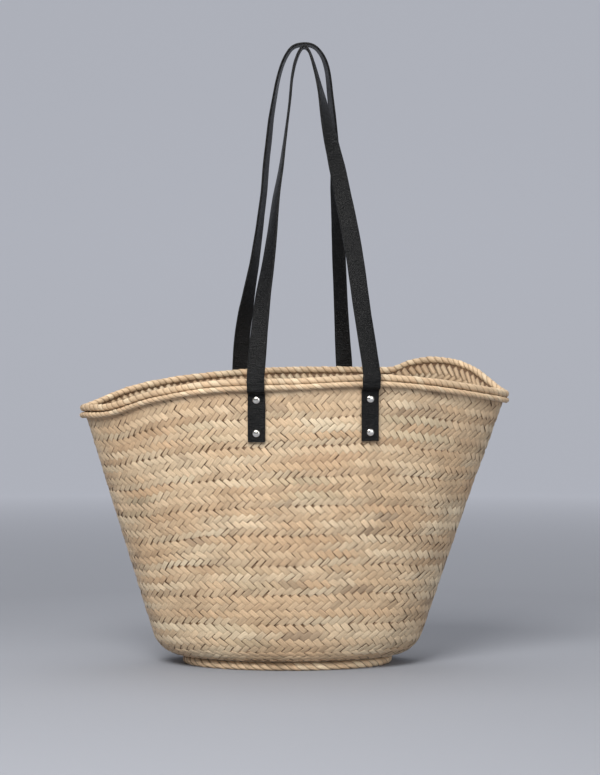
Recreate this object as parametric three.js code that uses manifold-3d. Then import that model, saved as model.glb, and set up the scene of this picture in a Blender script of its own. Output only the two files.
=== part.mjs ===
// Woven market basket: plaited palm courses laid ring on ring, roped rim and foot, and two
// black leather shoulder straps riveted on at their ends.
// Millimetres. +X runs along the mouth, -Y is the front, +Z is up, and z = 0 is under the foot.
import * as THREE from 'three';
import { LoftGeometry } from 'three/addons/geometries/LoftGeometry.js';
import { mergeVertices } from 'three/addons/utils/BufferGeometryUtils.js';
import Module from 'manifold-3d';

const wasm = await Module();
wasm.setup();

// ---- driving dimensions ----------------------------------------------------------------
const GAP = 0.3;                 // clearance between pieces that touch
const AROUND = 48;               // facets round the basket
const PLAIT = 4;                 // thickness of the plaited palm

const FOOT_ROPE = 9.5;           // height of the rope that the basket stands on
const BASE_Z = FOOT_ROPE + GAP;  // underside of the plaited base
const BASE_SHIFT = -8;           // the base sits this far to the left of the mouth
const BASE_HALF = { length: 118, depth: 76 };
const CORNER = { length: 34, depth: 14, height: 34 };
const FLARE = { length: 0.333, depth: 0.03 };   // outward run of the wall per mm of height
const WALL_SPAN = 287;           // height over which the flare is reckoned
const PINCH = 0.4;               // how far the mouth is drawn out to a point at its two ends

const COURSES = 10;              // plaits from the base to the rim
const LOWEST_SEAM = 0.0456;      // top of the lowest plait, as a share of the wall's height
const COURSE_STEP = 0.1033;      // height of each plait above it, as the same share
const ROPE_SEAT = 2.5;           // the wall stops this far under the rim rope

const RIM_ROPE = 7.6;
const RIM_CORD = 5.8;

// height of the rim's top at places along the mouth: [x, z]
const FRONT_LIP = [
  [-238, 288], [-205, 289.5], [-157, 303], [-88, 314], [0, 317], [91, 320.5], [157, 315.5], [238, 304.5],
];
const BACK_LIP = [
  [-238, 288], [-189, 309], [-122, 323], [-29, 331], [64, 332], [112, 331.5], [134, 339.5],
  [165, 343], [201, 334], [238, 304.5],
];

const STRAP = { width: 19, thickness: 2.5 };
const STRAP_DROP = 67.7;         // from the rim's top down to the strap's cut end
const HINGE_RISE = 6;            // from the rim's top up to where the strap bends
const HINGE_GAP = 2.4;           // between a riveted end and its loop
const WALL_GAP = 0.6;            // a flat strap stands this far off the facetted wall
const UPPER_RIVET_DROP = 22.6;   // from the rim's top down to the upper rivet
const RIVET_SPACING = 35.8;
const RIVET_SIDES = 12;

const RIVET = { cap: 4.2, dome: 2.4, shaft: 1.8, hole: 2.1, foot: 1.4 };

// each loop's middle line from its left bend to its right bend: [x, y, z, turn], where turn is the
// twist in degrees: 0 lies flat along the left wall, 90 lies flat over a peg, 180 flat on the right
const FRONT_LOOP = [
  [-35.5, -89, 390, 26], [-28, -75, 445, 50], [-20.5, -58, 512, 70], [-11.5, -41, 573, 84],
  [-3, -22, 648, 89], [2, -15, 674, 90], [10, -12, 686.5, 90], [18, -14, 677, 96],
  [27, -23, 641, 104], [35.5, -33, 602, 128], [44, -44, 562, 153], [54, -55, 512, 170],
  [63.5, -69, 460, 172], [73, -86, 390, 170],
];
const BACK_LOOP = [
  [-60.5, 92, 375, 22], [-50.5, 81, 432, 54], [-42.5, 71, 480, 68], [-36, 58, 530, 74],
  [-29.5, 43, 590, 76], [-19.5, 26, 655, 84], [-6, 15, 686, 88], [10, 12, 693, 90],
  [25.5, 13, 688, 92], [36.5, 20, 668, 100], [42, 32, 625, 106], [46, 46, 575, 114],
  [48, 59, 528, 128], [50, 69, 480, 138], [53, 85, 420, 142], [55, 95, 375, 150],
];

// each leg: where it crosses the rim, and how much lower than the others it is riveted
const STRAPS = [
  { side: 'front', face: -1, left: { x: -40.5, low: 0 }, right: { x: 81, low: 3.2 }, loop: FRONT_LOOP },
  { side: 'back', face: 1, left: { x: -62.5, low: 0 }, right: { x: 56.5, low: 1 }, loop: BACK_LOOP },
];

// ---- materials ---------------------------------------------------------------------------
const finish = (color, roughness, metalness = 0) =>
  new THREE.MeshStandardMaterial({ color, roughness, metalness });
const palm = () => finish(0xc9ab82, 0.75);
const rope = () => finish(0xd0b188, 0.7);
const leather = () => finish(0x141414, 0.5);
const nickel = () => finish(0xc8c6c0, 0.2, 1);

const basket = new THREE.Group();

function add(name, geometry, material) {
  const mesh = new THREE.Mesh(geometry, material);
  mesh.name = name;
  basket.add(mesh);
  return mesh;
}

// ---- the basket's surface ------------------------------------------------------------------
// cubic curve through [x, z] knots
function heightAlong(knots, x) {
  const slope = (i) => {
    const before = knots[Math.max(i - 1, 0)];
    const after = knots[Math.min(i + 1, knots.length - 1)];
    return (after[1] - before[1]) / (after[0] - before[0]);
  };
  const inside = THREE.MathUtils.clamp(x, knots[0][0], knots[knots.length - 1][0]);
  const i = Math.min(knots.findLastIndex((knot) => knot[0] <= inside), knots.length - 2);
  const span = knots[i + 1][0] - knots[i][0];
  const u = (inside - knots[i][0]) / span;
  const start = (1 + 2 * u) * (1 - u) ** 2 * knots[i][1] + u * (1 - u) ** 2 * span * slope(i);
  const end = u * u * (3 - 2 * u) * knots[i + 1][1] + u * u * (u - 1) * span * slope(i + 1);
  return start + end;
}

// half length or half depth at height h above the base, and the outward run per mm there
function profile(h, way) {
  const run = FLARE[way];
  const last = Math.atan(run * CORNER.height / CORNER[way]);
  const cornerTop = CORNER.height * (1 - Math.sin(last));
  if (h >= cornerTop) {
    const half = BASE_HALF[way] + CORNER[way] * Math.cos(last) + (h - cornerTop) * run;
    return { half, run };
  }
  const angle = Math.asin(1 - h / CORNER.height);
  const half = BASE_HALF[way] + CORNER[way] * Math.cos(angle);
  return { half, run: CORNER[way] / CORNER.height * Math.tan(angle) };
}

const MOUTH_HALF = profile(WALL_SPAN, 'length').half;

function rimHeight(angle) {
  const lip = Math.sin(angle) < 0 ? FRONT_LIP : BACK_LIP;
  return heightAlong(lip, MOUTH_HALF * Math.cos(angle));
}

// point at share f of the wall's height, at an angle round the basket, inset from the outside
function wallPoint(angle, f, inset = 0) {
  const length = profile(f * WALL_SPAN, 'length');
  const depth = profile(f * WALL_SPAN, 'depth');
  const towardsEnd = Math.cos(angle) ** 2;
  const inwards = (run) => 1 / Math.hypot(1, run);
  const upwards = (run) => (Number.isFinite(run) ? run / Math.hypot(1, run) : 1);
  const a = length.half - inset * inwards(length.run);
  const b = depth.half - inset * inwards(depth.run);
  const rise = inset * (upwards(length.run) * towardsEnd + upwards(depth.run) * (1 - towardsEnd));
  const s = Math.sin(angle);
  return new THREE.Vector3(
    BASE_SHIFT * (1 - f) + a * Math.cos(angle),
    b * s * Math.abs(s) ** (PINCH * f),
    BASE_Z + (rimHeight(angle) - BASE_Z) * f + rise,
  );
}

// level way out from the wall at this place
function outward(angle, f) {
  const step = 0.02;               // radians either side, for the wall's direction
  const along = wallPoint(angle + step, f).sub(wallPoint(angle - step, f));
  return new THREE.Vector3(along.y, -along.x, 0).normalize();
}

const shareBelowRim = (angle, drop) => 1 - drop / (rimHeight(angle) - BASE_Z);

// ---- closed rings round the basket --------------------------------------------------------
function ring(section) {
  const sections = [];
  for (let i = 0; i <= AROUND; i += 1) {
    sections.push(section((i % AROUND) / AROUND * 2 * Math.PI));
  }
  return new LoftGeometry(sections);
}

function plaitRing(bottom, top, levels) {
  return ring((angle) => {
    const low = bottom(angle);
    const high = top(angle);
    const shares = Array.from({ length: levels }, (_, i) => low + (high - low) * i / (levels - 1));
    const inner = shares.map((f) => wallPoint(angle, f, PLAIT));
    const outer = shares.map((f) => wallPoint(angle, f));
    return [...inner, ...outer.reverse()];
  });
}

// eight-sided rope, flat above and below, whose middle is centre(angle)
function ropeRing(centre, height) {
  const sides = 8;
  const radius = height / 2 / Math.cos(Math.PI / sides);
  return ring((angle) => {
    const { point, out } = centre(angle);
    return Array.from({ length: sides }, (_, i) => {
      const turn = (i + 0.5) / sides * 2 * Math.PI;
      return point.clone()
        .addScaledVector(out, -radius * Math.cos(turn))
        .add(new THREE.Vector3(0, 0, radius * Math.sin(turn)));
    });
  });
}

// ---- cutting -------------------------------------------------------------------------------
function toSolid(geometry) {
  const bare = new THREE.BufferGeometry().copy(geometry);
  bare.deleteAttribute('normal');
  bare.deleteAttribute('uv');
  const merged = mergeVertices(bare, 1e-4);
  return new wasm.Manifold(new wasm.Mesh({
    numProp: 3,
    vertProperties: merged.attributes.position.array,
    triVerts: new Uint32Array(merged.index.array),
  }));
}

function toGeometry(solid) {
  const { vertProperties, triVerts } = solid.getMesh();
  const geometry = new THREE.BufferGeometry();
  geometry.setAttribute('position', new THREE.BufferAttribute(vertProperties, 3));
  geometry.setIndex(new THREE.BufferAttribute(triVerts, 1));
  geometry.computeVertexNormals();
  return geometry;
}

// ---- rivet places --------------------------------------------------------------------------
// angle round the wall where its outside is at x, on the front (-1) or the back (1)
function angleAt(x, face, f) {
  const half = profile(f * WALL_SPAN, 'length').half;
  return face * Math.acos((x - BASE_SHIFT * (1 - f)) / half);
}

// place on the wall's outside at x and a drop below the rim, with its way out
function wallPlace(x, face, drop) {
  const rimAngle = angleAt(x, face, 1);
  const f = shareBelowRim(rimAngle, drop);
  const angle = angleAt(x, face, f);
  const point = wallPoint(angle, f);
  return { point, out: outward(angle, f) };
}

const towards = (out) => new THREE.Quaternion().setFromUnitVectors(new THREE.Vector3(0, 1, 0), out);

const rivets = [];
for (const strap of STRAPS) {
  for (const end of ['left', 'right']) {
    for (const [row, drop] of [['upper', UPPER_RIVET_DROP], ['lower', UPPER_RIVET_DROP + RIVET_SPACING]]) {
      const place = wallPlace(strap[end].x, strap.face, drop + strap[end].low);
      rivets.push({ name: `${strap.side}_${end}_${row}`, ...place, turn: towards(place.out) });
    }
  }
}

const DRILL_LENGTH = 40;
const holes = rivets.map(({ point, turn }) => {
  const pin = new THREE.CylinderGeometry(RIVET.hole, RIVET.hole, DRILL_LENGTH, RIVET_SIDES);
  pin.applyQuaternion(turn);
  pin.translate(point.x, point.y, point.z);
  return toSolid(pin);
});
const allHoles = holes.reduce((joined, hole) => joined.add(hole));

const drilled = (geometry) => toGeometry(toSolid(geometry).subtract(allHoles));

// ---- plaited base and courses --------------------------------------------------------------
function baseOutline(inset) {
  return Array.from({ length: AROUND }, (_, i) => {
    const angle = i / AROUND * 2 * Math.PI;
    return new THREE.Vector2(
      BASE_SHIFT + (BASE_HALF.length - inset) * Math.cos(angle),
      (BASE_HALF.depth - inset) * Math.sin(angle),
    );
  });
}

function basePlate(name, outer, hole) {
  const shape = new THREE.Shape(baseOutline(outer));
  if (hole) {
    shape.holes.push(new THREE.Path(baseOutline(hole)));
  }
  const plate = new THREE.ExtrudeGeometry(shape, { depth: PLAIT, bevelEnabled: false });
  add(name, plate, palm()).position.z = BASE_Z;
}

const BASE_ROUND_WIDTH = 33;     // the plait that runs round the base's middle
basePlate('base_centre_plait', BASE_ROUND_WIDTH + 2 * GAP);
basePlate('base_round_plait', GAP, BASE_ROUND_WIDTH + GAP);

const CORNER_LEVELS = [5, 3];    // steps up the lowest courses, which round the base's corner
const seamShare = (k) => LOWEST_SEAM + COURSE_STEP * (k - 1);
for (let k = 1; k <= COURSES; k += 1) {
  const halfGap = GAP / 2 / WALL_SPAN;
  const bottom = () => (k === 1 ? 0 : seamShare(k - 1) + halfGap);
  const top = (angle) => (k === COURSES
    ? shareBelowRim(angle, RIM_ROPE + ROPE_SEAT)
    : seamShare(k) - halfGap);
  const geometry = plaitRing(bottom, top, CORNER_LEVELS[k - 1] ?? 2);
  const hasRivets = k >= COURSES - 2;   // the rivets pass through the top three courses
  add(`plait_course_${String(k).padStart(2, '0')}`, hasRivets ? drilled(geometry) : geometry, palm());
}

// ---- ropes ---------------------------------------------------------------------------------
const FOOT_INSET = 6;             // the foot's middle lies this far inside the base's edge
add('foot_rope', ropeRing((angle) => {
  const out = new THREE.Vector3(Math.cos(angle) / BASE_HALF.length, Math.sin(angle) / BASE_HALF.depth, 0);
  const point = new THREE.Vector3(
    BASE_SHIFT + (BASE_HALF.length - FOOT_INSET) * Math.cos(angle),
    (BASE_HALF.depth - FOOT_INSET) * Math.sin(angle),
    FOOT_ROPE / 2,
  );
  return { point, out: out.normalize() };
}, FOOT_ROPE), rope());

add('rim_rope', ropeRing((angle) => {
  const point = wallPoint(angle, 1, PLAIT / 2);
  point.z = rimHeight(angle) - RIM_ROPE / 2;
  return { point, out: outward(angle, 1) };
}, RIM_ROPE), rope());

const CORD_OUT = RIM_CORD / 2 / Math.cos(Math.PI / 8) + GAP;
const CORD_SEAT = 2.3;            // from the rim rope down to the cord's middle
const CORD_DROP = RIM_ROPE + CORD_SEAT;
const CORD_DROP_AT_ENDS = 2;      // extra, where the wall leans out most
add('rim_cord', ropeRing((angle) => {
  const f = shareBelowRim(angle, CORD_DROP + CORD_DROP_AT_ENDS * Math.cos(angle) ** 2);
  const out = outward(angle, f);
  return { point: wallPoint(angle, f).addScaledVector(out, CORD_OUT), out };
}, RIM_CORD), rope());

// ---- straps --------------------------------------------------------------------------------
// flat strip through stations { point, along, across }, where across is its width's direction
function strip(stations) {
  const sections = stations.map(({ point, along, across }) => {
    const side = across.clone().addScaledVector(along, -across.dot(along)).normalize();
    const up = new THREE.Vector3().crossVectors(along, side);
    return [[1, 1], [-1, 1], [-1, -1], [1, -1]].map(([i, j]) => point.clone()
      .addScaledVector(side, i * STRAP.width / 2)
      .addScaledVector(up, j * STRAP.thickness / 2));
  });
  return new LoftGeometry(sections, { capStart: true, capEnd: true });
}

function alongPath(points) {
  return points.map((point, i) => {
    const before = points[Math.max(i - 1, 0)];
    const after = points[Math.min(i + 1, points.length - 1)];
    return { point, along: after.clone().sub(before).normalize() };
  });
}

const CORD_FACE = CORD_OUT + RIM_CORD / 2 / Math.cos(Math.PI / 8);
const OVER_CORD = CORD_FACE + WALL_GAP + STRAP.thickness / 2;
const ON_WALL = WALL_GAP + STRAP.thickness / 2;
const BEND_LEAN = 2;              // the strap leans this far back over the rim where it bends
const AT_BEND = OVER_CORD - BEND_LEAN;
const STEP_START = CORD_DROP + 2.6;   // where the strap steps down from the cord to the wall
const STEP_END = CORD_DROP + 7.9;
const CORD_TOP = CORD_DROP - 5;

// middle of the bend above the rim, where the riveted end stops and the loop starts
function bend(x, face) {
  const { point, out } = wallPlace(x, face, 0);
  const across = new THREE.Vector3(-out.y, out.x, 0);
  point.addScaledVector(out, AT_BEND);
  point.z = rimHeight(angleAt(x, face, 1)) + HINGE_RISE;
  return { point, out, across };
}

function strapEnd({ x, low }, face) {
  const top = bend(x, face);
  const onWall = (drop, offset) => {
    const { point, out } = wallPlace(x, face, drop);
    return point.addScaledVector(out, offset);
  };
  const points = [
    onWall(STRAP_DROP + low, ON_WALL),
    onWall(STEP_END, ON_WALL),
    onWall(STEP_START, OVER_CORD),
    onWall(CORD_TOP, OVER_CORD),
    top.point.clone().add(new THREE.Vector3(0, 0, -HINGE_GAP / 2)),
  ];
  return strip(alongPath(points).map((station) => ({ ...station, across: top.across })));
}

const STEPS_PER_KNOT = 3;

function strapLoop({ face, left, right, loop }) {
  const ends = [bend(left.x, face), bend(right.x, face)];
  const lift = new THREE.Vector3(0, 0, HINGE_GAP / 2);
  const starts = ends.map(({ point }) => point.clone().add(lift));
  const middle = loop.map(([x, y, z]) => new THREE.Vector3(x, y, z));
  const path = new THREE.CatmullRomCurve3([starts[0], ...middle, starts[1]]);
  const endTurn = ({ across }) => THREE.MathUtils.radToDeg(Math.atan2(-across.y, -face * across.x));
  const turns = [endTurn(ends[0]), ...loop.map((knot) => knot[3]), 180 + endTurn(ends[1])];
  const twist = new THREE.CatmullRomCurve3(turns.map((turn) => new THREE.Vector3(turn, 0, 0)));
  const steps = STEPS_PER_KNOT * (turns.length - 1);
  return strip(Array.from({ length: steps + 1 }, (_, i) => {
    const turn = THREE.MathUtils.degToRad(twist.getPoint(i / steps).x);
    return {
      point: path.getPoint(i / steps),
      along: path.getTangent(i / steps),
      across: new THREE.Vector3(-face * Math.cos(turn), -Math.sin(turn), 0),
    };
  }));
}

for (const strap of STRAPS) {
  for (const end of ['left', 'right']) {
    add(`${strap.side}_${end}_strap_end`, drilled(strapEnd(strap[end], strap.face)), leather());
  }
  add(`${strap.side}_strap_loop`, strapLoop(strap), leather());
}

// ---- rivets --------------------------------------------------------------------------------
function lathe(profilePoints, segments = 16) {
  return new THREE.LatheGeometry(profilePoints.map(([r, z]) => new THREE.Vector2(r, z)), segments);
}

for (const { name, point, out, turn } of rivets) {
  const { cap, dome, shaft, foot } = RIVET;
  const outerFace = WALL_GAP + STRAP.thickness + GAP;
  const innerFace = -PLAIT - WALL_GAP;
  const capShape = [
    [0, 0], [cap, 0], [cap, 0.5], [cap * 0.75, dome * 0.75], [cap * 0.4, dome * 0.95], [0, dome],
  ];
  const button = add(`rivet_cap_${name}`, lathe(capShape), nickel());
  button.position.copy(point).addScaledVector(out, outerFace);
  button.quaternion.copy(turn);
  const postShape = [
    [0, innerFace - foot], [cap * 0.7, innerFace - foot], [cap, innerFace - 0.4], [cap, innerFace],
    [shaft, innerFace], [shaft, outerFace - GAP], [0, outerFace - GAP],
  ];
  const post = add(`rivet_post_${name}`, lathe(postShape, RIVET_SIDES), nickel());
  post.position.copy(point);
  post.quaternion.copy(turn);
}

export default basket;
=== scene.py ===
"""Woven market basket: plaited palm, wrapped ropes, black leather straps and nickel rivets."""
import math

import bmesh
import bpy
import numpy as np
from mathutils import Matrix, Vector


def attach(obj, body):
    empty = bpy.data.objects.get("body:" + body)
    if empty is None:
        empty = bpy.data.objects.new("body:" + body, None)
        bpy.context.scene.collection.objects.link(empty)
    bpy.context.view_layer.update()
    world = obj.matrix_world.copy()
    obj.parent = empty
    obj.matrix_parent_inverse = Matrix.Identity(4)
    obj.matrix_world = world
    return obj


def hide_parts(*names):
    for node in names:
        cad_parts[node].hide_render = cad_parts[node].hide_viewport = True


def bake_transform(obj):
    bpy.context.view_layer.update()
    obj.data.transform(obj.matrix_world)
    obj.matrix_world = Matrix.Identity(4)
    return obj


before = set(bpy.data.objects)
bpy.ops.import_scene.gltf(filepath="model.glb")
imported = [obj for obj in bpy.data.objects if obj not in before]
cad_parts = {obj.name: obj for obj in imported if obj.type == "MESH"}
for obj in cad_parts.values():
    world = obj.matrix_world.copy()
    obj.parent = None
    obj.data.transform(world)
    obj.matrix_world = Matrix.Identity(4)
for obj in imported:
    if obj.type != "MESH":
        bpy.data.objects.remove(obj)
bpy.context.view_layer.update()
MM = 0.001

# ---- the basket's measures in millimetres, as in the CAD model -------------------------------
PLAIT = 4.0
FOOT_ROPE = 9.5
BASE_Z = 9.8
BASE_SHIFT = -8.0
BASE_HALF = {"length": 118.0, "depth": 76.0}
CORNER = {"length": 34.0, "depth": 14.0, "height": 34.0}
FLARE = {"length": 0.333, "depth": 0.03}
WALL_SPAN = 287.0
PINCH = 0.4
COURSES = 10
LOWEST_SEAM = 0.0456
COURSE_STEP = 0.1033
RIM_ROPE = 7.6
RIM_CORD = 5.8
FRONT_LIP = [(-238, 288), (-205, 289.5), (-157, 303), (-88, 314), (0, 317), (91, 320.5),
             (157, 315.5), (238, 304.5)]
BACK_LIP = [(-238, 288), (-189, 309), (-122, 323), (-29, 331), (64, 332), (112, 331.5),
            (134, 339.5), (165, 343), (201, 334), (238, 304.5)]
STRAP_WIDTH = 19.0
STRAP_THICK = 2.5
STRAP_DROP = 67.7
HINGE_RISE = 6.0
CORD_DROP = RIM_ROPE + 2.3
UPPER_RIVET_DROP = 22.6
RIVET_SPACING = 35.8
FRONT_LOOP = [
    (-35.5, -89, 390, 26), (-28, -75, 445, 50), (-20.5, -58, 512, 70), (-11.5, -41, 573, 84),
    (-3, -22, 648, 89), (2, -15, 674, 90), (10, -12, 686.5, 90), (18, -14, 677, 96),
    (27, -23, 641, 104), (35.5, -33, 602, 128), (44, -44, 562, 153), (54, -55, 512, 170),
    (63.5, -69, 460, 172), (73, -86, 390, 170)]
BACK_LOOP = [
    (-60.5, 92, 375, 22), (-50.5, 81, 432, 54), (-42.5, 71, 480, 68), (-36, 58, 530, 74),
    (-29.5, 43, 590, 76), (-19.5, 26, 655, 84), (-6, 15, 686, 88), (10, 12, 693, 90),
    (25.5, 13, 688, 92), (36.5, 20, 668, 100), (42, 32, 625, 106), (46, 46, 575, 114),
    (48, 59, 528, 128), (50, 69, 480, 138), (53, 85, 420, 142), (55, 95, 375, 150)]
# each leg: where it crosses the rim, and how much lower than the others it is riveted
STRAPS = [("front", -1, (-40.5, 0.0), (81.0, 3.2), FRONT_LOOP),
          ("back", 1, (-62.5, 0.0), (56.5, 1.0), BACK_LOOP)]


# ---- the basket's surface ---------------------------------------------------------------------
def height_along(knots, x):
    """Cubic curve through (x, z) knots."""
    kx, kz = np.array(knots, float).T
    before, after = np.maximum(np.arange(len(kx)) - 1, 0), np.minimum(np.arange(len(kx)) + 1, len(kx) - 1)
    slope = (kz[after] - kz[before]) / (kx[after] - kx[before])
    x = np.clip(x, kx[0], kx[-1])
    i = np.clip(np.searchsorted(kx, x, side="right") - 1, 0, len(kx) - 2)
    span = kx[i + 1] - kx[i]
    u = (x - kx[i]) / span
    start = (1 + 2 * u) * (1 - u) ** 2 * kz[i] + u * (1 - u) ** 2 * span * slope[i]
    end = u * u * (3 - 2 * u) * kz[i + 1] + u * u * (u - 1) * span * slope[i + 1]
    return start + end


def profile(h, way):
    """Half length or half depth at height h above the base, and the outward run per mm there."""
    h = np.maximum(np.asarray(h, float), 1e-4)
    run = FLARE[way]
    last = math.atan(run * CORNER["height"] / CORNER[way])
    corner_top = CORNER["height"] * (1 - math.sin(last))
    angle = np.arcsin(np.clip(1 - h / CORNER["height"], 0, 1))
    low_half = BASE_HALF[way] + CORNER[way] * np.cos(angle)
    low_run = CORNER[way] / CORNER["height"] * np.tan(angle)
    high_half = BASE_HALF[way] + CORNER[way] * math.cos(last) + (h - corner_top) * run
    high = h >= corner_top
    return np.where(high, high_half, low_half), np.where(high, run, low_run)


MOUTH_HALF = float(profile(WALL_SPAN, "length")[0])


def rim_height(angle):
    x = MOUTH_HALF * np.cos(angle)
    return np.where(np.sin(angle) < 0, height_along(FRONT_LIP, x), height_along(BACK_LIP, x))


def wall_point(angle, f, out=0.0):
    """Points at share f of the wall's height, pushed out of the wall's outside by out."""
    angle, f, out = np.broadcast_arrays(np.asarray(angle, float), f, out)
    a, run_a = profile(f * WALL_SPAN, "length")
    b, run_b = profile(f * WALL_SPAN, "depth")
    to_end = np.cos(angle) ** 2
    a = a + out / np.hypot(1, run_a)
    b = b + out / np.hypot(1, run_b)
    drop = out * (run_a / np.hypot(1, run_a) * to_end + run_b / np.hypot(1, run_b) * (1 - to_end))
    s = np.sin(angle)
    x = BASE_SHIFT * (1 - f) + a * np.cos(angle)
    y = b * s * np.abs(s) ** (PINCH * f)
    z = BASE_Z + (rim_height(angle) - BASE_Z) * f - drop
    return np.stack([x, y, z], -1)


def outward(angle, f):
    """Level way out of the wall."""
    step = 0.02
    along = wall_point(angle + step, f) - wall_point(angle - step, f)
    out = np.stack([along[..., 1], -along[..., 0], np.zeros_like(along[..., 0])], -1)
    return out / np.linalg.norm(out, axis=-1, keepdims=True)


def share_below_rim(angle, drop):
    return 1 - drop / (rim_height(angle) - BASE_Z)


def seam_share(k):
    return LOWEST_SEAM + COURSE_STEP * (k - 1)


# ---- meshes --------------------------------------------------------------------------------------
def make_mesh(name, points, faces, material, tint_and_painted_shade=None, leaf=None):
    """points in mm; the colour factor, per point, holds each surface's own colour together with painted
    light and shade, and leaf is an (across, along, seed) place, per point too.
    """
    mesh = bpy.data.meshes.new(name)
    points = np.asarray(points, np.float64).reshape(-1, 3) * MM
    faces = np.asarray(faces, np.int32)
    corners = faces.shape[1]
    mesh.vertices.add(len(points))
    mesh.vertices.foreach_set("co", points.astype(np.float32).ravel())
    mesh.loops.add(faces.size)
    mesh.loops.foreach_set("vertex_index", faces.ravel())
    mesh.polygons.add(len(faces))
    mesh.polygons.foreach_set("loop_start", np.arange(len(faces), dtype=np.int32) * corners)
    mesh.polygons.foreach_set("loop_total", np.full(len(faces), corners, np.int32))
    mesh.polygons.foreach_set("use_smooth", np.full(len(faces), True))
    mesh.update(calc_edges=True)
    if tint_and_painted_shade is not None:
        layer = mesh.color_attributes.new("tint_and_painted_shade", "FLOAT_COLOR", "POINT")
        rgba = np.ones((len(points), 4), np.float32)
        rgba[:, :3] = tint_and_painted_shade
        layer.data.foreach_set("color", rgba.ravel())
    if leaf is not None:
        layer = mesh.attributes.new("leaf", "FLOAT_VECTOR", "POINT")
        layer.data.foreach_set("vector", np.asarray(leaf, np.float32).ravel())
    mesh.materials.append(material)
    thing = bpy.data.objects.new(name, mesh)
    bpy.context.scene.collection.objects.link(thing)
    return thing


def grid_faces(rows, columns, wrap_rows=False, wrap_columns=False):
    i = np.arange(rows if wrap_rows else rows - 1)
    j = np.arange(columns if wrap_columns else columns - 1)
    i, j = np.meshgrid(i, j, indexing="ij")
    i2, j2 = (i + 1) % rows, (j + 1) % columns
    return np.stack([i * columns + j, i * columns + j2, i2 * columns + j2, i2 * columns + j],
                    -1).reshape(-1, 4)


# ---- materials -----------------------------------------------------------------------------------
def srgb(r, g, b):
    """Linear colour of an sRGB one given as 0 to 255."""
    c = np.array([r, g, b], float) / 255
    return np.where(c <= 0.04045, c / 12.92, ((c + 0.055) / 1.055) ** 2.4)


class Nodes:
    """Small helper that adds and links shader nodes."""

    def __init__(self, name):
        self.material = bpy.data.materials.new(name)
        self.material.use_nodes = True
        self.tree = self.material.node_tree
        self.shader = self.tree.nodes["Principled BSDF"]

    def add(self, kind, **settings):
        node = self.tree.nodes.new(kind)
        for key, value in settings.items():
            if key in node.inputs:
                node.inputs[key].default_value = value
            else:
                setattr(node, key, value)
        return node

    def link(self, out, into):
        self.tree.links.new(out, into)

    def math(self, operation, a, b=None, clamp=False):
        node = self.add("ShaderNodeMath", operation=operation, use_clamp=clamp)
        for socket, value in zip(node.inputs, (a, b)):
            if value is None:
                continue
            if isinstance(value, (int, float)):
                socket.default_value = value
            else:
                self.link(value, socket)
        return node.outputs[0]

    def mix(self, factor, a, b, blend="MIX"):
        node = self.add("ShaderNodeMix", data_type="RGBA", blend_type=blend)
        for socket, value in ((node.inputs[0], factor), (node.inputs[6], a), (node.inputs[7], b)):
            if isinstance(value, (int, float)):
                socket.default_value = value
            elif isinstance(value, (tuple, list, np.ndarray)):
                socket.default_value = (*[float(v) for v in value], 1.0)
            else:
                self.link(value, socket)
        return node.outputs[2]

    def ramp(self, value, stops):
        node = self.add("ShaderNodeMapRange", clamp=True)
        self.link(value, node.inputs["Value"])
        node.inputs["From Min"].default_value = stops[0]
        node.inputs["From Max"].default_value = stops[1]
        node.inputs["To Min"].default_value = stops[2]
        node.inputs["To Max"].default_value = stops[3]
        return node.outputs[0]

    def noise(self, vector, scale, detail=3.0, roughness=0.55):
        node = self.add("ShaderNodeTexNoise", Scale=scale, Detail=detail, Roughness=roughness)
        self.link(vector, node.inputs["Vector"])
        return node.outputs["Fac"]

    def stretched(self, vector, x, y, z):
        node = self.add("ShaderNodeVectorMath", operation="MULTIPLY")
        self.link(vector, node.inputs[0])
        node.inputs[1].default_value = (x, y, z)
        return node.outputs[0]

    def bump(self, height, strength, distance, normal=None):
        node = self.add("ShaderNodeBump", Strength=strength, Distance=distance)
        self.link(height, node.inputs["Height"])
        if normal is not None:
            self.link(normal, node.inputs["Normal"])
        return node.outputs[0]


def palm_material(name, fibre=1.0):
    """Dry palm leaf: each strip's colour with its painted light and shade, long fibre streaks, small stains,
    silky bumps.
    """
    n = Nodes(name)
    tint_and_painted_shade = n.add("ShaderNodeAttribute", attribute_name="tint_and_painted_shade").outputs["Color"]
    leaf = n.add("ShaderNodeAttribute", attribute_name="leaf").outputs["Vector"]
    streaks = n.noise(n.stretched(leaf, 2.2 * fibre, 0.11, 7.0), 1.0, 4.0, 0.6)
    fine = n.noise(n.stretched(leaf, 6.5 * fibre, 0.22, 3.0), 1.0, 3.0, 0.6)
    place = n.add("ShaderNodeTexCoord").outputs["Object"]
    stains = n.noise(place, 42.0, 4.0, 0.62)
    shade = n.ramp(streaks, (0.30, 0.70, 0.80, 1.13))
    hair = n.ramp(fine, (0.35, 0.65, 0.90, 1.07))
    blot = n.ramp(stains, (0.33, 0.66, 0.88, 1.06))
    factor = n.math("MULTIPLY", n.math("MULTIPLY", shade, hair), blot)
    grey = n.add("ShaderNodeCombineColor")
    for socket in grey.inputs[:3]:
        n.link(factor, socket)
    colour = n.mix(1.0, tint_and_painted_shade, grey.outputs[0], "MULTIPLY")
    n.link(colour, n.shader.inputs["Base Color"])
    n.link(n.ramp(fine, (0.3, 0.7, 0.50, 0.72)), n.shader.inputs["Roughness"])
    n.shader.inputs["Specular IOR Level"].default_value = 0.4
    n.shader.inputs["Sheen Weight"].default_value = 0.08
    n.shader.inputs["Sheen Roughness"].default_value = 0.4
    ridges = n.bump(streaks, 0.5, 0.0006)
    n.link(n.bump(fine, 0.35, 0.0003, ridges), n.shader.inputs["Normal"])
    return n.material


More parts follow.
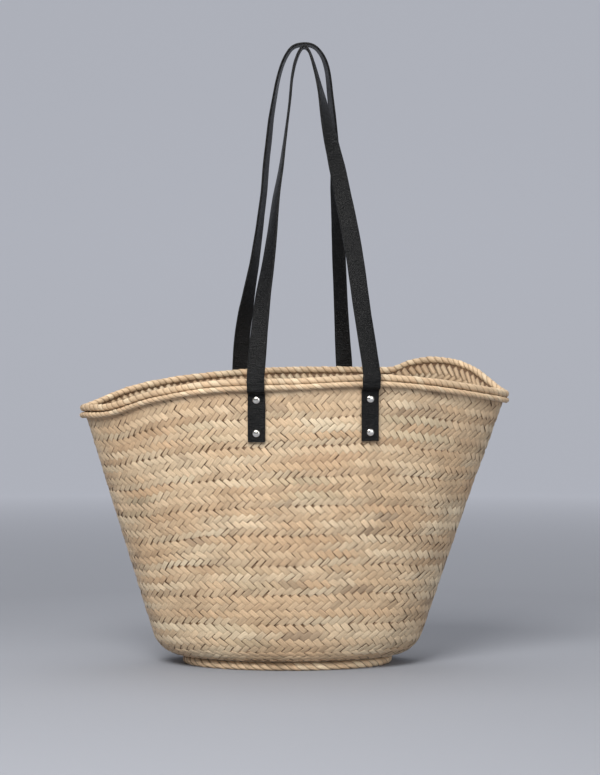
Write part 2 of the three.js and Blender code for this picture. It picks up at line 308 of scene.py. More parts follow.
def leather_material():
    """Black cowhide: pebbled grain, creases, scuffed paler along the cut edges."""
    n = Nodes("strap_leather_black")
    place = n.add("ShaderNodeTexCoord").outputs["Object"]
    leaf = n.add("ShaderNodeAttribute", attribute_name="leaf").outputs["Vector"]
    pebble = n.add("ShaderNodeTexVoronoi", Scale=950.0, feature="SMOOTH_F1")
    n.link(place, pebble.inputs["Vector"])
    coarse = n.noise(place, 260.0, 4.0, 0.6)
    wear = n.noise(place, 30.0, 5.0, 0.65)
    creases = n.noise(n.stretched(leaf, 0.12, 1.1, 1.0), 1.0, 3.0, 0.6)
    dark = n.mix(n.ramp(wear, (0.35, 0.7, 0.0, 1.0)), (0.0010, 0.0010, 0.0011), (0.0040, 0.0040, 0.0044))
    edge = n.add("ShaderNodeSeparateXYZ")
    n.link(leaf, edge.inputs[0])
    rim = n.math("ABSOLUTE", edge.outputs[0])
    scuff = n.math("MULTIPLY", n.ramp(rim, (9.1, 9.9, 0.0, 1.0)), n.ramp(coarse, (0.42, 0.62, 0.1, 0.8)))
    n.link(n.mix(scuff, dark, (0.022, 0.021, 0.021)), n.shader.inputs["Base Color"])
    n.link(n.ramp(wear, (0.3, 0.7, 0.27, 0.45)), n.shader.inputs["Roughness"])
    n.shader.inputs["Specular IOR Level"].default_value = 0.20
    grain = n.bump(pebble.outputs["Distance"], 0.9, 0.0007)
    rough = n.bump(coarse, 0.6, 0.0012, grain)
    n.link(n.bump(creases, 0.6, 0.002, rough), n.shader.inputs["Normal"])
    return n.material


def nickel_material():
    """Polished nickel plate with faint handling marks."""
    n = Nodes("rivet_nickel")
    place = n.add("ShaderNodeTexCoord").outputs["Object"]
    marks = n.noise(place, 700.0, 3.0, 0.6)
    tone = n.noise(place, 180.0, 2.0, 0.5)
    n.link(n.mix(n.ramp(tone, (0.3, 0.7, 0.0, 1.0)), (0.70, 0.66, 0.60), (0.86, 0.84, 0.80)),
           n.shader.inputs["Base Color"])
    n.shader.inputs["Metallic"].default_value = 1.0
    n.link(n.ramp(marks, (0.3, 0.75, 0.10, 0.26)), n.shader.inputs["Roughness"])
    n.link(n.bump(marks, 0.06, 0.0002), n.shader.inputs["Normal"])
    return n.material


PALM = palm_material("palm_leaf")
ROPE = palm_material("palm_rope", 0.8)
LEATHER = leather_material()
NICKEL = nickel_material()

STRAW = srgb(201, 172, 138)
CREAM = srgb(223, 203, 172)
TAN = srgb(194, 160, 125)
DUN = srgb(163, 139, 113)
SAGE = srgb(186, 170, 140)
SHADOW = srgb(104, 76, 50)


# ---- the weave -------------------------------------------------------------------------------------
def wandering(count, reach, rng):
    """Smooth random values round a closed row, about 0 with spread 1."""
    waves = rng.normal(size=count)
    kernel = np.exp(-0.5 * (np.minimum(np.arange(count), count - np.arange(count)) / reach) ** 2)
    smooth = np.real(np.fft.ifft(np.fft.fft(waves) * np.fft.fft(kernel)))
    return smooth / (smooth.std() + 1e-9)


def strip_colours(count, rows, rng):
    """Colour of every float. A strip shows again two rows up, two places along, and neighbouring
    strips often come from the same leaf, so colours run in short bands."""
    colours = np.zeros((rows, count, 3))
    for slant in (0, 1):
        pale = wandering(count, 1.7, rng)
        warm = wandering(count, 2.4, rng)
        dull = wandering(count, 1.6, rng)
        green = wandering(count, 3.5, rng)
        for row in range(slant, rows, 2):
            strip = (np.arange(count) + (row if slant else -row)) % count
            run = wandering(count, 2.6, rng)
            dull_run = wandering(count, 1.8, rng)
            base = np.tile(STRAW, (count, 1))
            group = np.clip(1.1 * (wandering(count, 2.0, rng) - 1.5), 0, 0.6)
            to_cream = np.clip(0.30 + 0.20 * pale[strip] + 0.16 * run + group, 0, 1)[:, None]
            base = base * (1 - to_cream) + CREAM * to_cream
            to_tan = np.clip(0.14 + 0.18 * warm[strip] - 0.12 * run, 0, 0.8)[:, None]
            base = base * (1 - to_tan) + TAN * to_tan
            to_dun = np.clip((0.75 * dull[strip] + 0.75 * dull_run - 1.65) * 1.1, 0, 0.80)[:, None]
            base = base * (1 - to_dun) + DUN * to_dun
            to_sage = np.clip((green[strip] - 1.5) * 0.5, 0, 0.5)[:, None]
            base = base * (1 - to_sage) + SAGE * to_sage
            colours[row] = base * (1 + 0.035 * rng.normal(size=(count, 1)))
    return colours


FLOAT_ALONG = np.array([-1.0, -0.86, -0.79, -0.45, 0.45, 0.79, 0.86, 1.0])
FLOAT_ACROSS = np.array([-1.0, -0.88, 0.0, 0.88, 1.0])
PLAIN_ALONG = FLOAT_ALONG[[0, 2, 3, 4, 5, 7]]
PLAIN_ACROSS = FLOAT_ACROSS[[0, 2, 4]]
FLOAT_REACH = 1.24               # a float's whole length over its visible length
CROSSING = 1 / FLOAT_REACH       # where its neighbours' edges lie over it
LEAF_THICK = 0.30
ROWS = 4                         # rows of leaf in one course
SEAT = 0.15                      # leaf strips lie this far inside the solid's faces


def float_patch(along, across):
    """Height of a leaf strip's top over its middle: it dives under its neighbours at both ends."""
    dive = np.abs(along)
    ends = -0.30 * np.clip((dive - 0.45) / (CROSSING - 0.45), 0, 1) ** 2
    ends = ends - 0.95 * np.clip((dive - CROSSING) / (1 - CROSSING), 0, 1)
    sides = -0.16 * np.abs(across) ** 6
    return ends + sides + 0.10 * (1 - dive ** 2) * (1 - across ** 2)


def weave(place, count, rows, rng, mirror=False, seam_row=0, keep=None,
          along=FLOAT_ALONG, across=FLOAT_ACROSS):
    """Closed leaf strips, over two and under two. place(u, v, out) gives points for float and row
    numbers. Returns points, faces, colour factors with painted light and shade, and leaf arrays."""
    lateral, length = np.meshgrid(across, along, indexing="xy")
    n, row = [a.ravel() for a in np.meshgrid(np.arange(count), np.arange(rows), indexing="xy")]
    odd = row % 2
    slant = np.where(odd == 1, -1.0, 1.0) * (-1 if mirror else 1)
    u0 = n + np.where(odd == 1, -0.25, 0.25) * (-1 if mirror else 1)
    v0 = row.astype(float)
    if keep is not None:
        chosen = keep(u0, v0)
        n, row, odd, slant, u0, v0 = [a[chosen] for a in (n, row, odd, slant, u0, v0)]
    floats = len(n)
    seam = row == seam_row
    half_long = 0.5 * FLOAT_REACH * (1 + 0.035 * rng.normal(size=floats))
    loose = rng.random(floats) < np.where(seam, 0.30, 0.05)
    half_wide = 0.25 * (1.02 + 0.045 * rng.normal(size=floats)) * np.where(loose, 0.84, 1.0)
    lift = 0.10 * rng.normal(size=floats) - np.where(seam, 0.22, 0.0)
    twist = 0.05 * rng.normal(size=floats)
    roll = 0.16 * rng.normal(size=floats)
    u0 = u0 + 0.03 * rng.normal(size=floats)
    v0 = v0 + 0.025 * rng.normal(size=floats)
    split = rng.random(floats) < 0.26
    split_at = rng.uniform(-0.35, 0.35, floats)
    du_long, dv_long = slant * np.cos(twist) - np.sin(twist), np.cos(twist) + slant * np.sin(twist)
    du_wide, dv_wide = np.cos(twist) + slant * np.sin(twist), -slant * np.cos(twist) + np.sin(twist)
    grid_l, grid_w = length.ravel()[None, :], lateral.ravel()[None, :]
    folded = (row == rows - 1)[:, None] & (grid_l > CROSSING - 0.1)   # ends that fold over at the seam
    bend = 0.05 * rng.normal(size=floats)[:, None] * (1 - grid_l ** 2)
    wide = grid_w * (1 - 0.05 * grid_l ** 2) + bend
    far, off = half_long[:, None] * grid_l, half_wide[:, None] * wide
    u = u0[:, None] + far * du_long[:, None] + off * du_wide[:, None]
    v = v0[:, None] + far * dv_long[:, None] + off * dv_wide[:, None]
    patch = float_patch(grid_l, grid_w)
    height = np.where(folded, 0.45 * patch, patch) + lift[:, None] + roll[:, None] * grid_w
    groove = np.exp(-((grid_w - split_at[:, None]) / 0.14) ** 2) * np.where(split, 0.26, 0.0)[:, None]
    height = height - groove
    upper = place(u, v, height)
    lower = place(u, v, height - LEAF_THICK)
    cells = upper.shape[1]
    points = np.concatenate([upper, lower], 1)
    rows_l, columns_l = length.shape
    sheet = grid_faces(rows_l, columns_l)
    edge = np.concatenate([
        np.arange(columns_l - 1), np.arange(rows_l - 1) * columns_l + columns_l - 1,
        (rows_l - 1) * columns_l + np.arange(columns_l - 1, 0, -1),
        np.arange(rows_l - 1, 0, -1) * columns_l])
    following = np.roll(edge, -1)
    walls = np.stack([edge, edge + cells, following + cells, following], -1)
    block = np.concatenate([sheet, sheet[:, ::-1] + cells, walls])
    faces = (block[None] + (np.arange(floats) * 2 * cells)[:, None, None]).reshape(-1, 4)
    colours = strip_colours(count, rows, rng)[row, n]
    lean = slant * (-1 if mirror else 1)
    # painted light: floats leaning one way are painted darker than those leaning the other, for how the
    # lamps fall on their slant, and the sunken seam row is painted darker still as painted shade
    painted_light = np.where(lean > 0, 0.93, 1.04) * np.where(seam, 0.92, 1)
    # painted shade: each float darkens towards the shadow colour where it dives under its neighbours, along
    # its side edges and in its split groove
    under = np.clip((np.abs(grid_l) - CROSSING + 0.02) / 0.07, 0, 1)
    side = np.clip((np.abs(grid_w) - 0.88) / 0.12, 0, 1)
    dark = np.clip(0.85 * under + 0.55 * side + 0.9 * groove, 0, 0.80)[..., None]
    tint_and_painted_shade = (colours * painted_light[:, None])[:, None, :] * (1 - dark) + SHADOW * dark
    # painted shade: each strip's underside is painted at 0.45 of its top's colour, which also darkens its
    # edge walls
    tint_and_painted_shade = np.concatenate([tint_and_painted_shade, tint_and_painted_shade * 0.45], 1)
    seed = rng.uniform(0, 60, floats)
    leaf = np.stack([np.broadcast_to(grid_w * 2.9, u.shape), np.broadcast_to(grid_l * 6.5, u.shape)
                     + (n * 3.1)[:, None], np.broadcast_to(seed[:, None], u.shape)], -1)
    leaf = np.concatenate([leaf, leaf], 1)
    if mirror:
        faces = faces[:, ::-1]
    return points.reshape(-1, 3), faces, tint_and_painted_shade.reshape(-1, 3), leaf.reshape(-1, 3)


def joined(parts):
    """One set of arrays from several."""
    offset, points, faces, tints, leaves = 0, [], [], [], []
    for p, f, t, l in parts:
        points.append(p)
        faces.append(f + offset)
        tints.append(t)
        leaves.append(l)
        offset += len(p)
    return [np.concatenate(a) for a in (points, faces, tints, leaves)]


def round_angles(f):
    """Table that turns a share of the way round into an angle, by length along the wall."""
    angle = np.linspace(0, 2 * math.pi, 1441)
    steps = np.linalg.norm(np.diff(wall_point(angle, f), axis=0), axis=1)
    travelled = np.concatenate([[0], np.cumsum(steps)])
    return angle, travelled / travelled[-1], travelled[-1]


def waves(angle, sizes, seed):
    """Sum of sine waves round the basket, sizes being (waves round, size)."""
    rng = np.random.default_rng(seed)
    return sum(size * np.sin(number * angle + rng.uniform(0, 2 * math.pi)) for number, size in sizes)


def seam_wander(k, angle):
    """How far in mm the seam above course k runs above or below its even line."""
    if k < 1 or k >= COURSES:
        return 0 * angle
    return min(k / 4, 1.0) * waves(angle, ((2, 0.7), (5, 0.7), (9, 0.5), (17, 0.35)), 500 + k)


def dents(angle, f):
    """How far in mm the soft wall stands out of its even line. The straps' seats stay even."""
    window = np.clip(f / 0.15, 0, 1) * np.clip((0.76 - f) / 0.12, 0, 1)
    upper = waves(angle, ((3, 0.8), (7, 0.7), (12, 0.4)), 601)
    lower = waves(angle, ((4, 0.8), (6, 0.7), (13, 0.4)), 602)
    blend = 0.5 - 0.5 * np.cos(math.pi * np.clip(f / 0.76, 0, 1))
    return window * (lower * (1 - blend) + upper * blend)


def course_place(k, count, side):
    """Maps float numbers and row numbers of course k to points on the wall's outside or inside."""
    low = 0.0 if k == 1 else seam_share(k - 1)
    high = seam_share(k) if k < COURSES else None
    angle_table, way_table, _ = round_angles((low + (high or 0.965)) / 2)
    h = np.linspace(low, high or 1.0, 200) * WALL_SPAN
    half = profile(h, "depth")[0]
    arc = np.concatenate([[0], np.cumsum(np.hypot(np.diff(half), np.diff(h)))])
    share = arc / arc[-1]

    def place(u, v, out):
        angle = np.interp((u / count) % 1.0, way_table, angle_table)
        up = v / ROWS
        if high is None:
            top = share_below_rim(angle, RIM_ROPE - 1)
            f = low + (top - low) * up
        else:
            f = np.where(up < 0, low + up * (high - low), np.where(
                up > 1, high + (up - 1) * (high - low), np.interp(up, share, h / WALL_SPAN)))
        wander = seam_wander(k - 1, angle) * (1 - up) + seam_wander(k, angle) * up
        f = np.maximum(f + wander / (rim_height(angle) - BASE_Z), 0.0005)
        offset = out - SEAT if side > 0 else -PLAIT + SEAT - out
        return wall_point(angle, f, offset + dents(angle, f))
    return place


CORE_HALF = 0.8                  # half the thickness of a course's middle layer of painted shade
CORE_STEPS = 240                 # places round the basket where that layer is measured


def core_ring(k):
    """A middle layer of painted shade that fills a course behind its leaf strips, so that the gaps between
    them read as shadow.
    """
    low = 0.0005 if k == 1 else seam_share(k - 1) - 0.004
    angle = np.linspace(0, 2 * math.pi, CORE_STEPS, endpoint=False)[:, None]
    levels = np.linspace(0, 1, 6)[None, :]
    high = seam_share(k) + 0.004 if k < COURSES else share_below_rim(angle, RIM_ROPE - 1)
    f = low + (high - low) * levels
    inner = wall_point(angle, f, -PLAIT / 2 - CORE_HALF + dents(angle, f))
    outer = wall_point(angle, f, -PLAIT / 2 + CORE_HALF + dents(angle, f))[:, ::-1]
    loop = np.concatenate([inner, outer], 1)
    points = loop.reshape(-1, 3)
    faces = grid_faces(CORE_STEPS, loop.shape[1], True, True)
    # painted shade: the whole layer takes the shadow colour
    tint_and_painted_shade = np.tile(SHADOW, (len(points), 1))
    return points, faces, tint_and_painted_shade, np.zeros((len(points), 3)) + points[:, 2:] * 0.2


def floats_round(k):
    """Strips are finer near the rim than near the base."""
    f = 0.02 if k == 1 else seam_share(k) - COURSE_STEP / 2
    length = round_angles(f)[2]
    pitch = 8.0 + 1.9 * (COURSES - k) / (COURSES - 1)
    return int(round(length / pitch))


def plait_course(k):
    rng = np.random.default_rng(100 + k)
    count = floats_round(k)
    outside = weave(course_place(k, count, 1), count, ROWS, rng)
    inside = weave(course_place(k, count, -1), count, ROWS, rng, mirror=True,
                   along=PLAIN_ALONG, across=PLAIN_ACROSS)
    points, faces, tint_and_painted_shade, leaf = joined([core_ring(k), outside, inside])
    name = f"plait_course_{k:02d}"
    course = make_mesh(f"{name}_woven", points, faces, PALM, tint_and_painted_shade, leaf)
    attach(course, "basket")
    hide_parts(name)


for course_number in range(1, COURSES + 1):
    plait_course(course_number)


# ---- the plaited base --------------------------------------------------------------------------------
def base_piece(name, outer_inset, inner_inset, seed):
    """An oval round of the base, or its middle where inner_inset is None."""
    rng = np.random.default_rng(seed)
    parts = []
    a, b = BASE_HALF["length"], BASE_HALF["depth"]
    pitch = 9.6                  # between strips along the base
    if inner_inset is None:
        half_a, half_b = a - outer_inset, b - outer_inset
        across_rows = int(round(2 * half_b / 8.25))
        count = int(round(2 * half_a / pitch))

        def inside_oval(u, v):
            x, y = (u / count - 0.5) * 2 * half_a, (v / across_rows - 0.5) * 2 * half_b
            return (x / half_a) ** 2 + (y / half_b) ** 2 < 0.97

        for side in (1, -1):
            def place(u, v, out, side=side):
                x = BASE_SHIFT + (u / count - 0.5) * 2 * half_a
                y = (v / across_rows - 0.5) * 2 * half_b
                z = BASE_Z + (PLAIT + out - SEAT if side > 0 else SEAT - out)
                return np.stack([x, y, z + 0 * x], -1)
            parts.append(weave(place, count, across_rows, rng, mirror=side < 0, seam_row=-1,
                               keep=inside_oval, along=PLAIN_ALONG, across=PLAIN_ACROSS))
    else:
        middle = (outer_inset + inner_inset) / 2
        angle = np.linspace(0, 2 * math.pi, 721)
        oval = np.stack([(a - middle) * np.cos(angle), (b - middle) * np.sin(angle)], -1)
        way = np.concatenate([[0], np.cumsum(np.linalg.norm(np.diff(oval, axis=0), axis=1))])
        count = int(round(way[-1] / pitch))
        for side in (1, -1):
            def place(u, v, out, side=side):
                t = np.interp((u / count) % 1.0, way / way[-1], angle)
                inset = outer_inset + (inner_inset - outer_inset) * v / ROWS
                x = BASE_SHIFT + (a - inset) * np.cos(t)
                y = (b - inset) * np.sin(t)
                z = BASE_Z + (PLAIT + out - SEAT if side > 0 else SEAT - out)
                return np.stack([x, y, z + 0 * x], -1)
            parts.append(weave(place, count, ROWS, rng, mirror=side < 0,
                               along=PLAIN_ALONG, across=PLAIN_ACROSS))
    points, faces, tint_and_painted_shade, leaf = joined(parts)
    piece = make_mesh(f"{name}_woven", points, faces, PALM, tint_and_painted_shade, leaf)
    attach(piece, "basket")
    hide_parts(name)


base_piece("base_centre_plait", 33.6, None, 31)
base_piece("base_round_plait", 0.3, 33.3, 32)


# ---- ropes ---------------------------------------------------------------------------------------------
def wrapped_rope(name, centre, radius, pitch, strands, seed, depth, tone, uneven):
    """Rope of strands laid round each other. centre(angle) gives middles and level ways out."""
    rng = np.random.default_rng(seed)
    table = np.linspace(0, 2 * math.pi, 1441)
    middles = centre(table)[0]
    way = np.concatenate([[0], np.cumsum(np.linalg.norm(np.diff(middles, axis=0), axis=1))])
    turns = int(round(way[-1] / pitch))
    steps = turns * 9
    share = np.arange(steps) / steps
    angle = np.interp(share, way / way[-1], table)
    middle, out = centre(angle)
    sides = 28
    round_share = np.arange(sides) / sides
    phi = (round_share - 0.25) * 2 * math.pi        # from underneath, where colours may jump
    drift = wandering(turns, 2.0, rng) * 0.30
    drift = np.interp(share * turns, np.arange(turns + 1), np.append(drift, drift[0]))
    phase = share[:, None] * turns + drift[:, None] - strands * round_share[None, :]
    wrap = np.floor(phase).astype(int)
    part = phase - wrap
    which = wrap % turns
    fat = 1 + 0.04 * rng.normal(size=turns)[which]
    pillow = np.clip(np.sin(math.pi * part), 0, 1) ** 0.38
    second = np.clip(np.abs(np.sin(math.pi * (part * 2 + 0.1))), 0, 1) ** 0.5
    r = radius * (1 - depth + depth * pillow + 0.03 * (second - 1) + 0.10 * (part - 0.5)) * fat
    r = r * (1 + uneven * wandering(steps, 30, rng)[:, None])
    rise = 0.5 * uneven * radius * 10 * wandering(steps, 60, rng)[:, None]
    up = np.array([0, 0, 1.0])
    points = (middle[:, None, :] - (r * np.cos(phi)[None, :])[..., None] * out[:, None, :]
              + (r * np.sin(phi)[None, :] + rise)[..., None] * up)
    points[..., 2] = np.maximum(points[..., 2], 0.0)
    shade = np.array([STRAW, CREAM, STRAW, TAN, STRAW])[rng.integers(0, 5, turns)]
    shade = (0.45 * shade + 0.55 * (0.7 * STRAW + 0.3 * CREAM)) * tone
    shade = shade * (1 + 0.05 * rng.normal(size=(turns, 1)))
    # painted shade: the rope darkens towards the shadow colour in the hollows between its turns
    dark = np.clip((0.80 - pillow) * 1.5 + 0.25 * (0.6 - second), 0, 0.85)[..., None]
    tint_and_painted_shade = shade[which] * (1 - dark) + SHADOW * dark
    run = np.broadcast_to(phi[None, :] * radius * 1.4, part.shape)
    leaf = np.stack([part * pitch, run, which * 1.7 + 0 * run], -1)
    rope = make_mesh(f"{name}_wrapped", points, grid_faces(steps, sides, True, True), ROPE,
                     tint_and_painted_shade.reshape(-1, 3), leaf.reshape(-1, 3))
    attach(rope, "basket")
    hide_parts(name)


FOOT_INSET = 6.0                 # the foot's middle lies this far inside the base's edge


def foot_line(angle):
    inset = FOOT_INSET
    a, b = BASE_HALF["length"], BASE_HALF["depth"]
    out = np.stack([np.cos(angle) / a, np.sin(angle) / b, 0 * angle], -1)
    out = out / np.linalg.norm(out, axis=-1, keepdims=True)
    middle = np.stack([BASE_SHIFT + (a - inset) * np.cos(angle), (b - inset) * np.sin(angle),
                       0 * angle + FOOT_ROPE / 2], -1)
    return middle, out


def rim_line(angle):
    middle = wall_point(angle, 1.0, -PLAIT / 2)
    middle[..., 2] = rim_height(angle) - RIM_ROPE / 2
    return middle, outward(angle, 1.0)


def cord_line(angle):
    f = share_below_rim(angle, CORD_DROP + 2 * np.cos(angle) ** 2)
    out = outward(angle, f)
    return wall_point(angle, f) + out * (RIM_CORD / 2 + 0.2), out


# painted light: the foot rope's colour is lifted 1.6 times, against the shade it gets close to the floor
wrapped_rope("foot_rope", foot_line, FOOT_ROPE / 2, 9.6, 3, 41, 0.22, 1.60, 0.01)
wrapped_rope("rim_rope", rim_line, RIM_ROPE / 2 + 0.3, 8.0, 2, 42, 0.16, 0.98, 0.02)
wrapped_rope("rim_cord", cord_line, RIM_CORD / 2 + 0.25, 6.4, 3, 43, 0.18, 1.02, 0.01)


# ---- straps --------------------------------------------------------------------------------------------
def angle_at(x, face, f):
    half = profile(f * WALL_SPAN, "length")[0]
    return face * np.arccos((x - BASE_SHIFT * (1 - f)) / half)


def wall_place(x, face, drop):
    """Point on the wall's outside at x and a drop below the rim, and the level way out there."""
    f = share_below_rim(angle_at(x, face, 1.0), drop)
    angle = angle_at(x, face, f)
    return wall_point(angle, f), outward(angle, f)


def smooth_path(knots, per_span):
    """Catmull-Rom curve through knots of any dimension."""
    knots = np.asarray(knots, float)
    padded = np.concatenate([[2 * knots[0] - knots[1]], knots, [2 * knots[-1] - knots[-2]]])
    t = np.arange(per_span)[:, None] / per_span
    spans = []
    for i in range(len(knots) - 1):
        p0, p1, p2, p3 = padded[i:i + 4]
        spans.append(0.5 * (2 * p1 + (p2 - p0) * t + (2 * p0 - 5 * p1 + 4 * p2 - p3) * t ** 2
                            + (3 * p1 - p0 - 3 * p2 + p3) * t ** 3))
    return np.concatenate(spans + [knots[-1:]])


ON_WALL = 0.45 + STRAP_THICK / 2
OVER_CORD = RIM_CORD + 1.7 + STRAP_THICK / 2
AT_BEND = OVER_CORD - 2.0


def strap_knots(face, left, right, loop):
    """Knots (x, y, z, turn) from one cut end over the peg to the other."""
    def leg(x, low, half_turn):
        seat = [(STRAP_DROP + low, ON_WALL), (56, ON_WALL), (44, ON_WALL), (32, ON_WALL),
                (CORD_DROP + 10, ON_WALL + 0.2), (CORD_DROP + 6, ON_WALL + 2.2),
                (CORD_DROP + 3.4, OVER_CORD - 0.25), (CORD_DROP - 1, OVER_CORD), (CORD_DROP - 5, OVER_CORD)]
        way = wall_place(x, face, 0.0)[1]
        turn = half_turn + math.degrees(math.atan2(-way[0], face * way[1]))
        rows = []
        for drop, offset in seat:
            point, out = wall_place(x, face, drop)
            rows.append([*(point + out * offset), turn])
        top = wall_place(x, face, 0.0)[0] + way * AT_BEND
        top[2] = float(rim_height(angle_at(x, face, 1.0))) + HINGE_RISE
        return rows + [[*top, turn]]
    return leg(*left, 0) + [list(knot) for knot in loop] + leg(*right, 180)[::-1]


def strap(side, face, left, right, loop):
    rng = np.random.default_rng(60 if face < 0 else 61)
    path = smooth_path(strap_knots(face, left, right, loop), 12)
    points, turn = path[:, :3], np.radians(path[:, 3])
    along = np.gradient(points, axis=0)
    along /= np.linalg.norm(along, axis=1, keepdims=True)
    across = np.stack([-face * np.cos(turn), -np.sin(turn), 0 * turn], -1)
    across -= (across * along).sum(1, keepdims=True) * along
    across /= np.linalg.norm(across, axis=1, keepdims=True)
    up = np.cross(along, across)
    travelled = np.concatenate([[0], np.cumsum(np.linalg.norm(np.diff(points, axis=0), axis=1))])
    w, t = STRAP_WIDTH / 2, STRAP_THICK / 2
    corner = 0.7
    flat = np.linspace(-1, 1, 9)
    outline = [(w, -t + corner), (w, t - corner), (w - corner * 0.3, t - corner * 0.3), (w - corner, t)]
    outline += [(-(w - 1.4) * s, t + 0.12 * (1 - s * s)) for s in flat]
    outline += [(-w + corner, t), (-w + corner * 0.3, t - corner * 0.3), (-w, t - corner), (-w, -t + corner),
                (-w + corner * 0.3, -t + corner * 0.3), (-w + corner, -t)]
    outline += [((w - 1.4) * s, -t - 0.18 * (1 - s * s)) for s in flat]
    outline += [(w - corner, -t), (w - corner * 0.3, -t + corner * 0.3)]
    outline = np.array(outline)
    edge_wave = 0.22 * np.interp(travelled, np.linspace(0, travelled[-1], 60), rng.normal(size=60))
    wave = 0.30 * np.interp(travelled, np.linspace(0, travelled[-1], 34), rng.normal(size=34))
    cup = np.interp(travelled, np.linspace(0, travelled[-1], 24), rng.normal(size=24)) * 0.35
    free = np.clip((travelled - 90) / 60, 0, 1) * np.clip((travelled[-1] - 90 - travelled) / 60, 0, 1)
    local_w = outline[None, :, 0] + np.sign(outline[None, :, 0]) * (edge_wave * 0.5)[:, None]
    local_t = (outline[None, :, 1] + (wave * free)[:, None]
               + (cup * free)[:, None] * (outline[None, :, 0] / w) ** 2)
    rings = (points[:, None, :] + local_w[..., None] * across[:, None, :]
             + local_t[..., None] * up[:, None, :])
    count, sides = rings.shape[:2]
    faces = grid_faces(count, sides, False, True)[:, ::-1]
    verts = rings.reshape(-1, 3)
    leaf = np.stack([np.broadcast_to(outline[None, :, 0], (count, sides)),
                     np.broadcast_to(travelled[:, None], (count, sides)),
                     np.broadcast_to(outline[None, :, 1], (count, sides))], -1).reshape(-1, 3)
    thing = make_mesh(f"{side}_strap", verts, faces, LEATHER, None, leaf)
    close_ends(thing, sides, count)
    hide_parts(f"{side}_left_strap_end", f"{side}_right_strap_end", f"{side}_strap_loop")
    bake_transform(thing)


def close_ends(thing, sides, count):
    """Caps for a lofted strip's two ends."""
    bm = bmesh.new()
    bm.from_mesh(thing.data)
    bm.verts.ensure_lookup_table()
    bm.faces.new([bm.verts[i] for i in range(sides)])
    bm.faces.new([bm.verts[(count - 1) * sides + i] for i in reversed(range(sides))])
    bmesh.ops.recalc_face_normals(bm, faces=bm.faces)
    bm.to_mesh(thing.data)
    bm.free()


for strap_facts in STRAPS:
    strap(*strap_facts)


# ---- rivets --------------------------------------------------------------------------------------------
def turned(name, profile_points, origin, way, material, segments=40):
    """Solid of revolution about way, from a profile of (radius, height)."""
    way = way / np.linalg.norm(way)
    side = np.cross([0, 0, 1.0], way)
    side /= np.linalg.norm(side)
    third = np.cross(way, side)
    t = np.arange(segments) / segments * 2 * math.pi
    r, h = np.array(profile_points, float).T
    ring = (np.cos(t)[:, None] * side + np.sin(t)[:, None] * third)
    points = origin + r[:, None, None] * ring[None] + h[:, None, None] * way
    faces = grid_faces(len(r), segments, False, True)
    points = points.reshape(-1, 3)
    thing = make_mesh(name, points, faces, material)
    close_ends(thing, segments, len(r))
    return thing


def rivet(side, end, row, x, face, drop):
    point, way = wall_place(x, face, drop)
    cap_r, dome, shaft, foot = 4.2, 2.4, 1.8, 1.4
    seat = 0.45 + STRAP_THICK - 0.1
    arc = np.linspace(0, math.pi / 2, 12)[:-1]
    head = [(cap_r - 0.25, 0.0), (cap_r, 0.12), (cap_r, 0.42)]
    head += [(cap_r * math.cos(a) ** 0.8, 0.42 + (dome - 0.42) * math.sin(a)) for a in arc[1:]]
    head += [(0.15, dome)]
    cap = turned(f"rivet_head_{side}_{end}_{row}", head, point + way * seat, way, NICKEL)
    inner = -PLAIT - 0.3
    post = [(0.15, inner - foot), (cap_r * 0.55, inner - foot * 0.97), (cap_r * 0.85, inner - foot * 0.75),
            (cap_r, inner - 0.4), (cap_r, inner), (shaft, inner), (shaft, seat)]
    tail = turned(f"rivet_tail_{side}_{end}_{row}", post, point, way, NICKEL, 24)
    for thing, node in ((cap, "rivet_cap"), (tail, "rivet_post")):
        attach(thing, "basket")
        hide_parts(f"{node}_{side}_{end}_{row}")


for side, face, left, right, _ in STRAPS:
    for end, (x, low) in (("left", left), ("right", right)):
        rivet(side, end, "upper", x, face, UPPER_RIVET_DROP + low)
        rivet(side, end, "lower", x, face, UPPER_RIVET_DROP + RIVET_SPACING + low)


# shown without a film curve, so that pale palm and black leather keep their own contrast
bpy.context.scene.view_settings.view_transform = "Standard"


# ---- studio --------------------------------------------------------------------------------------------
def plain_material(name, colour, roughness):
    n = Nodes(name)
    n.shader.inputs["Base Color"].default_value = (*colour, 1.0)
    n.shader.inputs["Roughness"].default_value = roughness
    return n.material


def backdrop_material():
    """Pale paper with painted light: it glows, more the further it lies from the middle of the stage,
    standing in for a lit backdrop.
    """
    material = plain_material("pale_paper_painted_glow", (0.27, 0.279, 0.309), 0.9)
    tree = material.node_tree
    shader = tree.nodes["Principled BSDF"]
    away = tree.nodes.new("ShaderNodeVectorMath")
    away.operation = "LENGTH"
    tree.links.new(tree.nodes.new("ShaderNodeNewGeometry").outputs["Position"], away.inputs[0])
    glow = tree.nodes.new("ShaderNodeMapRange")
    tree.links.new(away.outputs["Value"], glow.inputs["Value"])
    glow.inputs["From Min"].default_value = 0.8
    glow.inputs["From Max"].default_value = 3.4
    glow.inputs["To Max"].default_value = 0.31
    # painted light: emission that rises with the distance from the stage's middle
    tree.links.new(glow.outputs[0], shader.inputs["Emission Strength"])
    shader.inputs["Emission Color"].default_value = (0.95, 0.98, 1.08, 1.0)
    return material


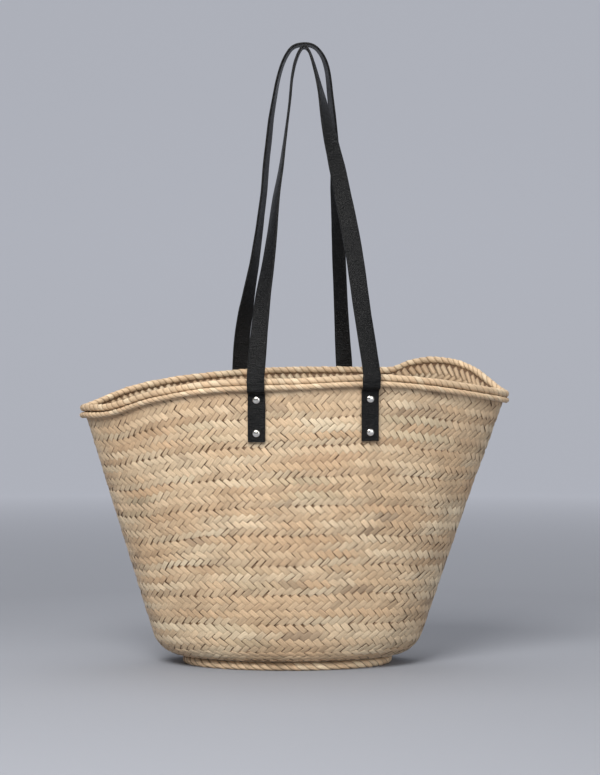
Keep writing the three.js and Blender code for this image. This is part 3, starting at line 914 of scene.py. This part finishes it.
def studio():
    """Pale floor that curves up into a pale wall, which stands further off than any camera."""
    depth, height, half, radius = 3.4, 5.0, 6.0, 0.8
    arc = np.linspace(0, math.pi / 2, 16)
    line = [(-6.0, 0.0), (depth, 0.0)]
    line += [(depth + radius * math.sin(a), radius * (1 - math.cos(a))) for a in arc[1:]]
    line += [(depth + radius, height)]
    points = [(x, y, z) for y, z in line for x in (-half, half)]
    points = np.array(points) / MM
    faces = grid_faces(len(line), 2)
    floor = make_mesh("studio_floor", points, faces, backdrop_material())


def area_light(name, place, aim, size, power, colour):
    lamp = bpy.data.lights.new(name, "AREA")
    lamp.shape = "RECTANGLE"
    lamp.size, lamp.size_y = size
    lamp.energy = power
    lamp.color = colour
    thing = bpy.data.objects.new(name, lamp)
    thing.location = place
    way = Vector(aim) - Vector(place)
    thing.rotation_euler = way.to_track_quat("-Z", "Y").to_euler()
    bpy.context.scene.collection.objects.link(thing)


studio()
area_light("window_key", (-0.45, -1.50, 1.6), (0.0, 0.0, 0.25), (1.1, 1.1), 51.0, (1.0, 0.99, 0.97))
area_light("soft_fill", (1.8, -2.2, 1.2), (0.0, 0.0, 0.25), (2.0, 2.0), 20.0, (0.96, 0.98, 1.0))
area_light("top_soft", (0.0, 0.5, 2.2), (0.0, 0.0, 0.2), (1.8, 1.4), 20.0, (1.0, 1.0, 1.0))
world = bpy.data.worlds.new("studio_air")
bpy.context.scene.world = world
world.use_nodes = True
world.node_tree.nodes["Background"].inputs["Color"].default_value = (0.92, 0.95, 1.0, 1.0)
world.node_tree.nodes["Background"].inputs["Strength"].default_value = 0.26

# ---- camera --------------------------------------------------------------------------------------------
camera_data = bpy.data.cameras.new("view_camera")
camera = bpy.data.objects.new("view_camera", camera_data)
bpy.context.scene.collection.objects.link(camera)
bpy.context.scene.camera = camera
CAMERA_DISTANCE = 2.2
HALF_HEIGHT_SEEN = 0.434
camera_data.sensor_width = 36.0
camera_data.lens = 18.0 * CAMERA_DISTANCE / HALF_HEIGHT_SEEN
camera.location = (0.006, -CAMERA_DISTANCE, 0.307)
camera.rotation_euler = (math.pi / 2, 0.0, 0.0)
